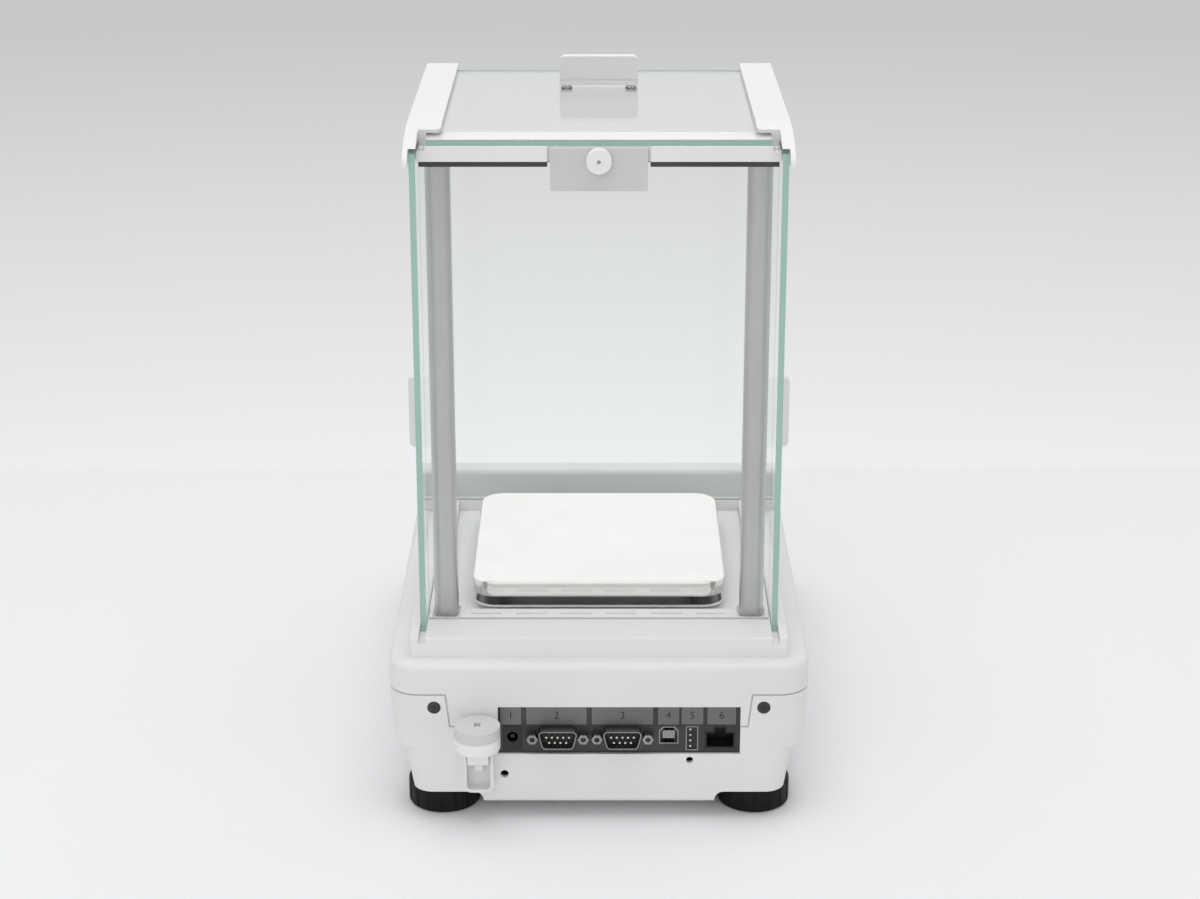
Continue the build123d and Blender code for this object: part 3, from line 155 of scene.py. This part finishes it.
def mixed(tree, share, low, high):
    """A colour from one hex value to another as share crosses the range that noise fills."""
    ramp = add_node(tree, "ShaderNodeValToRGB", {"Fac": share})
    ends = (noise_low, noise_high)
    for stop, place, shade in zip(ramp.color_ramp.elements, ends, (low, high)):
        stop.position = place
        stop.color = linear(shade)
    return ramp.outputs[0]


def relief(tree, height, depth_mm):
    """A bump of about depth_mm from a height."""
    links = {"Height": height, "Distance": depth_mm * MM, "Strength": 1.0}
    return add_node(tree, "ShaderNodeBump", links).outputs[0]


def moulded_plastic(name, low, high, rough=(0.42, 0.52), grain_mm=0.7, depth_mm=0.02, ior=1.53):
    """Injection moulded plastic: a fine matt grain from the mould and faint drifts of tone."""
    finish, tree = new_finish(name)
    grain = blotches(tree, grain_mm, detail=3.0)
    drift = blotches(tree, plastic_drift)
    shader = add_node(
        tree,
        "ShaderNodeBsdfPrincipled",
        {
            "Base Color": mixed(tree, drift, low, high),
            "Roughness": between(tree, grain, *rough),
            "IOR": ior,
            "Normal": relief(tree, grain, depth_mm),
        },
    )
    show(tree, shader.outputs[0])
    return finish


def worked_metal(name, low, high, rough, line_mm, along, depth_mm=0.004):
    """Bare or plated metal: fine lines left by drawing, rolling or brushing along one axis."""
    finish, tree = new_finish(name)
    stretch = [line_stretch if axis == along else 1 for axis in "XYZ"]
    lines = blotches(tree, line_mm, stretch, detail=4.0)
    drift = blotches(tree, metal_drift)
    shader = add_node(
        tree,
        "ShaderNodeBsdfPrincipled",
        {
            "Base Color": mixed(tree, drift, low, high),
            "Metallic": 1.0,
            "Roughness": between(tree, lines, *rough),
            "Normal": relief(tree, lines, depth_mm),
        },
    )
    show(tree, shader.outputs[0])
    return finish


def clear_sheet(name, tint, lamp_tint, rough, ior, see_through):
    """Float glass, which lets the lamps through to what stands behind it."""
    finish, tree = new_finish(name)
    haze = blotches(tree, glass_haze)
    glass = add_node(
        tree,
        "ShaderNodeBsdfPrincipled",
        {
            "Base Color": linear(tint),
            "Roughness": between(tree, haze, *rough),
            "IOR": ior,
            "Transmission Weight": see_through,
        },
    )
    open_way = add_node(tree, "ShaderNodeBsdfTransparent", {"Color": linear(lamp_tint)})
    lamp_ray = add_node(tree, "ShaderNodeLightPath").outputs["Is Shadow Ray"]
    both = add_node(tree, "ShaderNodeMixShader", {0: lamp_ray, 1: glass.outputs[0]})
    tree.links.new(open_way.outputs[0], both.inputs[2])
    show(tree, both.outputs[0])
    return finish


def board_laminate(name):
    """Glass-fibre circuit board under green solder resist, with copper tracks just below it."""
    finish, tree = new_finish(name)
    where = add_node(tree, "ShaderNodeTexCoord").outputs["Object"]
    links = {
        "Vector": where,
        "Scale": 1 / (track_pitch * MM),
        "Color1": linear("#1E5B35"),
        "Color2": linear("#236640"),
        "Mortar": linear("#143F26"),
    }
    tracks = add_node(tree, "ShaderNodeTexBrick", links)
    links = {"Base Color": tracks.outputs[0], "Roughness": 0.35, "IOR": 1.55}
    show(tree, add_node(tree, "ShaderNodeBsdfPrincipled", links).outputs[0])
    return finish


# Float glass under a thin coat against reflections, so its IOR lies under that of plain glass
# and the chamber shows clear. Its ground edge scatters, and the iron in the glass turns it green
glass_body = clear_sheet("float_glass_coated_face", "#FEFFFE", "#FDFFFE", (0.0, 0.006), 1.22, 1.0)
glass_edge = clear_sheet("float_glass_ground_edge", "#A9CDC2", "#D5E8E1", (0.2, 0.3), 1.52, 0.25)

# Moulded cap of the level: the same matt plastic as the housing, a shade darker
cap_grey = moulded_plastic("abs_cap_grey", "#CBCBCB", "#D0D0D0", (0.4, 0.5))

# Brushed aluminium of the fields over the sockets, paler than the strip under them
field_metal = worked_metal("aluminium_brushed_grey", "#747473", "#7E7E7D", (0.4, 0.5), 0.35, "X")

# Finishes, by the record's slot names
finishes = {
    # Housing shells from an etched mould: an even pale grey without sharp reflections
    "housing_plastic": moulded_plastic("abs_light_grey_grained", "#E2E2E2", "#E6E6E6"),
    # Rails, handles and plates from a finer mould: a soft sheen, and a trace of warmth in the rails
    "rail_plastic": moulded_plastic("abs_off_white_satin", "#E7E5E5", "#EAE8E8", (0.36, 0.44)),
    "white_plastic": moulded_plastic("abs_white_satin", "#E8E8E8", "#ECECEC", (0.32, 0.4)),
    "level_white": moulded_plastic("abs_white_level", "#E6E6E6", "#EAEAEA", (0.34, 0.42)),
    "latch_grey": moulded_plastic("abs_mid_grey", "#C9C9C9", "#CDCDCD", (0.4, 0.5)),
    # Nylon wheels with a coarse grain: nearly black, with little light on the ribs
    "foot_black": moulded_plastic("nylon_black", "#0E0E0E", "#131313", (0.45, 0.6), 0.9, 0.04, 1.3),
    # Bodies of the sockets: black, with a dull sheen where they catch the light
    "port_black": moulded_plastic("polyester_black", "#111111", "#181818", (0.35, 0.45)),
    # Foamed and cast rubber: dull and dark, rough enough to show no lamp
    "seal_rubber": moulded_plastic("foam_rubber_dark", "#3C3C3C", "#4A4A4A", (0.75, 0.9), 0.6, 0.1),
    "bumper_rubber": moulded_plastic("silicone_grey", "#33302F", "#3B3837", (0.5, 0.6)),
    # Polished cover glass over a dark display: black with clear reflections and no grain
    "display_glass": moulded_plastic("cover_glass_black", "#08090A", "#0B0C0D", (0.04, 0.07), 2, 0.0),
    # Anodised uprights: drawn lines run along them and spread the reflection
    "post_metal": worked_metal("aluminium_anodised", "#C3C3C3", "#C9C9C9", (0.38, 0.5), 0.5, "Z"),
    # Brushed stainless steel: bright, and white under the soft lamps
    "pan_steel": worked_metal("steel_stainless_brushed", "#F3F2F1", "#F7F6F5", (0.12, 0.2), 0.4, "X"),
    # Turned, blackened and plated small parts: grey to black with a short soft glint
    "screw_steel": worked_metal("steel_stainless_turned", "#B9B8B6", "#C4C3C1", (0.25, 0.35), 0.3, "Z"),
    "dark_screw": worked_metal("steel_blackened", "#4A4A4A", "#565656", (0.35, 0.5), 0.3, "Y"),
    "panel_metal": worked_metal("aluminium_brushed_dark", "#474746", "#545453", (0.35, 0.5), 0.35, "X"),
    "port_metal": worked_metal("steel_tin_plated", "#8F8F8E", "#A2A2A0", (0.22, 0.34), 0.6, "Y"),
    "pin_gold": worked_metal("brass_plated_pins", "#DAD6CC", "#E6E2D8", (0.2, 0.3), 0.3, "Y"),
    # Weighing cell inside the housing: milled, rolled, wound, plated and turned metals
    "cell_metal": worked_metal("aluminium_milled", "#A9AAAB", "#B4B5B6", (0.3, 0.42), 0.6, "Y"),
    "leaf_steel": worked_metal("steel_spring", "#A5A7AA", "#B2B4B6", (0.2, 0.3), 0.4, "Y"),
    "coil_copper": worked_metal("copper_enamelled_wire", "#A55A33", "#B5663C", (0.25, 0.35), 0.3, "X"),
    "magnet_iron": worked_metal("iron_nickel_plated", "#8C8B88", "#999895", (0.3, 0.4), 0.8, "Z"),
    "sleeve_brass": worked_metal("brass_turned", "#B8953F", "#C5A24B", (0.25, 0.36), 0.3, "Z"),
    # Circuit boards: copper tracks show as paler patches through the green resist
    "board_green": board_laminate("fibreglass_green_board"),
    "clear_glass": glass_body,
}


def dress_nodes():
    """Gives each CAD node the finish of its slot, and each pane its green ground edges."""
    for part in frame["record"]["subparts"]:
        node = nodes[part["node"]].data
        node.materials.clear()
        node.materials.append(finishes[part["material_slot"]])
        if part["material_slot"] == "clear_glass":
            low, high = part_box(part["node"])
            sides = [high[axis] - low[axis] for axis in range(3)]
            thin = sides.index(min(sides))
            node.materials.append(glass_edge)
            for face in node.polygons:
                face.material_index = int(abs(face.normal[thin]) < 0.5)
    nodes["level_cap"].data.materials[0] = cap_grey


dress_nodes()

# Sizes of the small pieces, in millimetres

# Fields of the strip, from its right end to its left one, as (left, right) edges in X
panel_face_y = 141.5
label_low_z = 50.6
label_high_z = 60.9
label_cells = [
    (37.7, 48.6),
    (5.6, 36.0),
    (-26.9, 3.9),
    (-39.7, -28.6),
    (-51.5, -40.1),
    (-67.5, -52.8),
]
label_line = 0.35
label_rise = 0.06
digit_height = 5.6

# Power inlet
jack_z = 44.3
jack_half_height = 5.6
jack_hole_r = 2.7
jack_steps = 48

# Slim port and its contacts
slim_wall = 0.5
slim_deep = 3.0
slim_sunk = 0.7
contact_count = 4
contact_aside = 0.8
contact_half = (0.45, 0.05, 0.4)

# Rear screws: the crown of the head narrows over its rim and ends round the cross recess, which is not
# cut but drawn as black bars of painted shade
screw_x = 80.6
screw_face_y = 142.6
screw_z = 60.7
screw_head_r = 3.0
screw_head_rise = 0.5
screw_sides = 32
rim_rise_share = 0.5
shoulder_r_share = 0.82
shoulder_rise_share = 0.9
cross_arm = 1.6
cross_width = 0.55
cross_clear = 1.15
# The black bars of painted recess shade sink this far into the head and stand this far over it
cross_sunk = 0.1
cross_proud = 0.02
cross_turns = [0.4, 1.1]

# Reading on the display, on the slope of the console
display_middle = (0, -121.3, 87.65)
display_slope = 25.54
display_rise = 0.05
display_digit = 15.0


def shape_object(name, shell, finish):
    """A small piece from a bmesh whose points are in metres in the shared frame."""
    mesh = bpy.data.meshes.new(name)
    shell.to_mesh(mesh)
    shell.free()
    made = bpy.data.objects.new(name, mesh)
    scene.collection.objects.link(made)
    mesh.materials.append(finish)
    return made


def add_box(shell, low, high):
    """Adds a box to a bmesh from two corners in millimetres."""
    middle = [(a + b) / 2 * MM for a, b in zip(low, high)]
    sides = [(b - a) * MM for a, b in zip(low, high)]
    place = Matrix.Translation(middle) @ Matrix.Diagonal((*sides, 1))
    bmesh.ops.create_cube(shell, size=1, matrix=place)


def digits(name, words, size_mm, rise_mm, place, turn, finish):
    """Plain numbers as a thin mesh, at a place in millimetres and turned by degrees."""
    curve = bpy.data.curves.new(name + "_curve", "FONT")
    curve.body = words
    curve.size = size_mm * MM
    curve.extrude = rise_mm / 2 * MM
    curve.align_x = "CENTER"
    curve.align_y = "CENTER"
    curve.resolution_u = 3
    writing = bpy.data.objects.new(name + "_curve", curve)
    scene.collection.objects.link(writing)
    bpy.context.view_layer.update()
    seen = writing.evaluated_get(bpy.context.evaluated_depsgraph_get())
    mesh = bpy.data.meshes.new_from_object(seen)
    bpy.data.objects.remove(writing)
    turned = Euler([math.radians(angle) for angle in turn]).to_matrix().to_4x4()
    mesh.transform(Matrix.Translation(Vector(place) * MM) @ turned)
    mesh.materials.clear()
    mesh.materials.append(finish)
    made = bpy.data.objects.new(name, mesh)
    scene.collection.objects.link(made)
    return made


def place_copies(name, unit, spots, turns, finish):
    """A Geometry Nodes tree that puts one unit mesh on each spot, turned about Y by its angle."""
    tree = bpy.data.node_groups.new(name + "_copies", "GeometryNodeTree")
    tree.interface.new_socket("Spots", in_out="INPUT", socket_type="NodeSocketGeometry")
    size = tree.interface.new_socket("Size", in_out="INPUT", socket_type="NodeSocketFloat")
    size.default_value = 1.0
    tree.interface.new_socket("Copies", in_out="OUTPUT", socket_type="NodeSocketGeometry")
    entry = add_node(tree, "NodeGroupInput")
    model = add_node(tree, "GeometryNodeObjectInfo", {"Object": unit})
    angle = add_node(tree, "GeometryNodeInputNamedAttribute", {"Name": "turn"}, data_type="FLOAT")
    aim = add_node(tree, "ShaderNodeCombineXYZ", {"Y": angle.outputs[0]})
    put = add_node(
        tree,
        "GeometryNodeInstanceOnPoints",
        {
            "Points": entry.outputs["Spots"],
            "Instance": model.outputs["Geometry"],
            "Rotation": aim.outputs[0],
            "Scale": entry.outputs["Size"],
        },
    )
    real = add_node(tree, "GeometryNodeRealizeInstances", {"Geometry": put.outputs[0]})
    links = {"Geometry": real.outputs[0], "Material": finish}
    dressed = add_node(tree, "GeometryNodeSetMaterial", links)
    add_node(tree, "NodeGroupOutput", {"Copies": dressed.outputs[0]})

    points = bpy.data.meshes.new(name + "_spots")
    points.from_pydata([Vector(spot) * MM for spot in spots], [], [])
    angles = points.attributes.new("turn", "FLOAT", "POINT")
    for value, turn in zip(angles.data, turns):
        value.value = turn
    holder = bpy.data.objects.new(name + "_spots", points)
    scene.collection.objects.link(holder)
    grower = holder.modifiers.new("copies", "NODES")
    grower.node_group = tree
    bpy.context.view_layer.update()
    seen = holder.evaluated_get(bpy.context.evaluated_depsgraph_get())
    mesh = bpy.data.meshes.new_from_object(seen)
    bpy.data.objects.remove(holder)
    mesh.materials.clear()
    mesh.materials.append(finish)
    for face in mesh.polygons:
        face.material_index = 0
    made = bpy.data.objects.new(name, mesh)
    scene.collection.objects.link(made)
    return made


def strip_fields():
    """Grey fields over the sockets, each with a dark frame and a plain number."""
    back_y = panel_face_y - label_rise
    front_y = panel_face_y + label_rise
    plates = bmesh.new()
    frames = bmesh.new()
    for left, right in label_cells:
        add_box(plates, (left, back_y, label_low_z),
                (right, panel_face_y + label_rise / 2, label_high_z))
        bars = [
            (left, label_low_z, right, label_low_z + label_line),
            (left, label_high_z - label_line, right, label_high_z),
            (left, label_low_z, left + label_line, label_high_z),
            (right - label_line, label_low_z, right, label_high_z),
        ]
        for x_low, z_low, x_high, z_high in bars:
            add_box(frames, (x_low, back_y, z_low), (x_high, front_y, z_high))
    fields = shape_object("label_fields", plates, field_metal)
    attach(fields, "housing")
    lines = shape_object("label_frames", frames, finishes["port_black"])
    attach(lines, "housing")
    middle_z = (label_low_z + label_high_z) / 2
    for number, (left, right) in enumerate(label_cells, 1):
        place = ((left + right) / 2, panel_face_y, middle_z)
        plain = digits(f"label_number_{number}", str(number), digit_height, 2 * label_rise, place,
                       (90, 0, 180), finishes["port_black"])
        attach(plain, "housing")


def inlet_block():
    """Black face round the power inlet: an oblong with a round hole over the bore."""
    low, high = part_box("power_jack")
    middle_x = (low[0] + high[0]) / 2 / MM
    half_wide = (high[0] - low[0]) / 2 / MM
    face_y = panel_face_y + label_rise
    block = bmesh.new()
    hole = []
    rim = []
    for step in range(jack_steps):
        angle = 2 * math.pi * (step + 0.5) / jack_steps
        across = abs(math.cos(angle))
        up = abs(math.sin(angle))
        away = min(half_wide / across, jack_half_height / up)
        for radius, ring in ((jack_hole_r, hole), (away, rim)):
            spot = (middle_x + radius * math.cos(angle), face_y, jack_z + radius * math.sin(angle))
            ring.append(block.verts.new(Vector(spot) * MM))
    for step in range(jack_steps):
        after = (step + 1) % jack_steps
        block.faces.new((hole[step], hole[after], rim[after], rim[step]))
    surround = shape_object("jack_surround", block, finishes["port_black"])
    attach(surround, "housing")


def slim_port_inside():
    """Black tongue inside the slim port, with a row of bright contacts on it."""
    low, high = [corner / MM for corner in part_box("slim_port")]
    face_y = high[1] - slim_sunk
    tongue = bmesh.new()
    add_box(tongue, (low[0] + slim_wall, high[1] - slim_deep, low[2] + slim_wall),
            (high[0] - slim_wall, face_y, high[2] - slim_wall))
    filled = shape_object("slim_port_tongue", tongue, finishes["port_black"])
    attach(filled, "housing")
    contact = bmesh.new()
    add_box(contact, [-half for half in contact_half], contact_half)
    unit = shape_object("slim_contact_unit", contact, finishes["pin_gold"])
    row_x = (low[0] + high[0]) / 2 + contact_aside
    pitch = (high[2] - low[2] - 2 * slim_wall) / contact_count
    spots = [(row_x, face_y, low[2] + slim_wall + pitch * (place + 0.5))
             for place in range(contact_count)]
    turns = [0] * contact_count
    contacts = place_copies("slim_port_contacts", unit, spots, turns, finishes["pin_gold"])
    bpy.data.objects.remove(unit)
    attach(contacts, "housing")


def display_reading():
    """A plain reading just over the glass of the display, tilted with it."""
    shown = digits("display_digits", "0.0000", display_digit, display_rise, display_middle,
                   (display_slope, 0, 0), finishes["level_white"])
    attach(shown, "housing")


def screw_head():
    """One crowned screw head, from its rim to the flat round its cross."""
    rings = [
        (screw_head_r, 0.0),
        (screw_head_r, screw_head_rise * rim_rise_share),
        (screw_head_r * shoulder_r_share, screw_head_rise * shoulder_rise_share),
        (cross_arm * cross_clear, screw_head_rise),
    ]
    head = bmesh.new()
    loops = []
    for radius, rise in rings:
        loop = []
        for step in range(screw_sides):
            angle = 2 * math.pi * step / screw_sides
            spot = (radius * math.cos(angle) * MM, rise * MM, radius * math.sin(angle) * MM)
            loop.append(head.verts.new(spot))
        loops.append(loop)
    for lower, upper in zip(loops, loops[1:]):
        for step in range(screw_sides):
            after = (step + 1) % screw_sides
            head.faces.new((lower[step], lower[after], upper[after], upper[step]))
    head.faces.new(loops[0])
    head.faces.new(list(reversed(loops[-1])))
    bmesh.ops.recalc_face_normals(head, faces=head.faces)
    return shape_object("screw_head_unit", head, finishes["dark_screw"])


def screw_cross():
    """Painted shade of the cross recess of one screw: two black bars that stand a hair over the head
    where the recess would lie in shade.
    """
    low = screw_head_rise - cross_sunk
    high = screw_head_rise + cross_proud
    half = cross_width / 2
    cross = bmesh.new()
    add_box(cross, (-cross_arm, low, -half), (cross_arm, high, half))
    add_box(cross, (-half, low, -cross_arm), (half, high, cross_arm))
    return shape_object("screw_cross_unit", cross, finishes["port_black"])


def rear_screws():
    """Heads of the two rear screws, and the black bars of painted shade in their cross recesses, each
    pair of copies from one unit.
    """
    spots = [(-screw_x, screw_face_y, screw_z), (screw_x, screw_face_y, screw_z)]
    unit = screw_head()
    heads = place_copies("cover_screw_heads", unit, spots, [0, 0], finishes["dark_screw"])
    bpy.data.objects.remove(unit)
    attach(heads, "housing")
    # The cross recesses are not cut: bars in the black socket plastic are painted shade in their place
    unit = screw_cross()
    recess_shades = place_copies("cover_screw_crosses", unit, spots, cross_turns, finishes["port_black"])
    bpy.data.objects.remove(unit)
    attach(recess_shades, "housing")


strip_fields()
inlet_block()
slim_port_inside()
display_reading()
rear_screws()


def sheet_mesh(name, corners, finish):
    """A flat piece of the stage from its corners."""
    mesh = bpy.data.meshes.new(name)
    mesh.from_pydata(corners, [], [range(len(corners))])
    made = bpy.data.objects.new(name, mesh)
    scene.collection.objects.link(made)
    mesh.materials.append(finish)
    return made


def table_top(name):
    """Matt white table under the balance, which keeps its shadow."""
    finish, tree = new_finish(name)
    links = {"Base Color": linear(table_shade), "Roughness": table_rough}
    show(tree, add_node(tree, "ShaderNodeBsdfPrincipled", links).outputs[0])
    return finish


table_corners = [
    (-table_reach, table_edge_y, 0),
    (table_reach, table_edge_y, 0),
    (table_reach, table_reach, 0),
    (-table_reach, table_reach, 0),
]
sheet_mesh("table", table_corners, table_top("paper_white"))


def studio_world():
    """Even light for the object, and a grey drop behind the table for eyes, gloss and glass."""
    world = bpy.data.worlds.new("studio")
    world.use_nodes = True
    tree = world.node_tree
    tree.nodes.clear()
    aim = add_node(tree, "ShaderNodeTexCoord").outputs["Generated"]
    rise = add_node(tree, "ShaderNodeSeparateXYZ", {0: aim}).outputs["Z"]
    reach = {"From Min": drop_low, "From Max": drop_high, "To Min": 0.0, "To Max": 1.0}
    share = add_node(tree, "ShaderNodeMapRange", {"Value": rise, **reach}).outputs[0]
    drop = add_node(tree, "ShaderNodeValToRGB", {"Fac": share})
    while len(drop.color_ramp.elements) < len(drop_stops):
        drop.color_ramp.elements.new(0.5)
    for stop, (place, shade) in zip(drop.color_ramp.elements, drop_stops):
        stop.position = place
        stop.color = linear(shade)
    path = add_node(tree, "ShaderNodeLightPath")
    seen = path.outputs["Is Camera Ray"]
    for other in ("Is Glossy Ray", "Is Transmission Ray"):
        links = {0: seen, 1: path.outputs[other]}
        seen = add_node(tree, "ShaderNodeMath", links, operation="MAXIMUM").outputs[0]
    links = {"Color": linear("#FFFFFF"), "Strength": sky_level}
    light = add_node(tree, "ShaderNodeBackground", links)
    view = add_node(tree, "ShaderNodeBackground", {"Color": drop.outputs[0], "Strength": 1.0})
    links = {0: seen, 1: light.outputs[0], 2: view.outputs[0]}
    both = add_node(tree, "ShaderNodeMixShader", links)
    add_node(tree, "ShaderNodeOutputWorld", {"Surface": both.outputs[0]})
    scene.world = world


def soft_lamp(name, place, target, size, watts):
    """A square soft box that looks from its place to a target, unseen in gloss and glass."""
    lamp = bpy.data.lights.new(name, "AREA")
    lamp.size = size
    lamp.energy = watts
    made = bpy.data.objects.new(name, lamp)
    scene.collection.objects.link(made)
    made.location = place
    made.rotation_euler = (Vector(target) - Vector(place)).to_track_quat("-Z", "Y").to_euler()
    made.visible_glossy = False
    made.visible_transmission = False
    return made


studio_world()
middle = (cad_box[0] + cad_box[1]) / 2
soft_lamp("ceiling_box", ceiling_place, (0, 0, 0), ceiling_size, ceiling_watts)
soft_lamp("window_box", window_place, middle, window_size, window_watts)

camera = bpy.data.cameras.new("camera")
camera.lens = camera_lens
camera.sensor_width = camera_sensor
camera.shift_x = camera_shift_x
camera_object = bpy.data.objects.new("camera", camera)
camera_object.location = (0, camera_y, camera_z)
camera_object.rotation_euler = (math.radians(camera_tilt), 0, math.pi)
scene.collection.objects.link(camera_object)
scene.camera = camera_object
scene.view_settings.view_transform = "Standard"
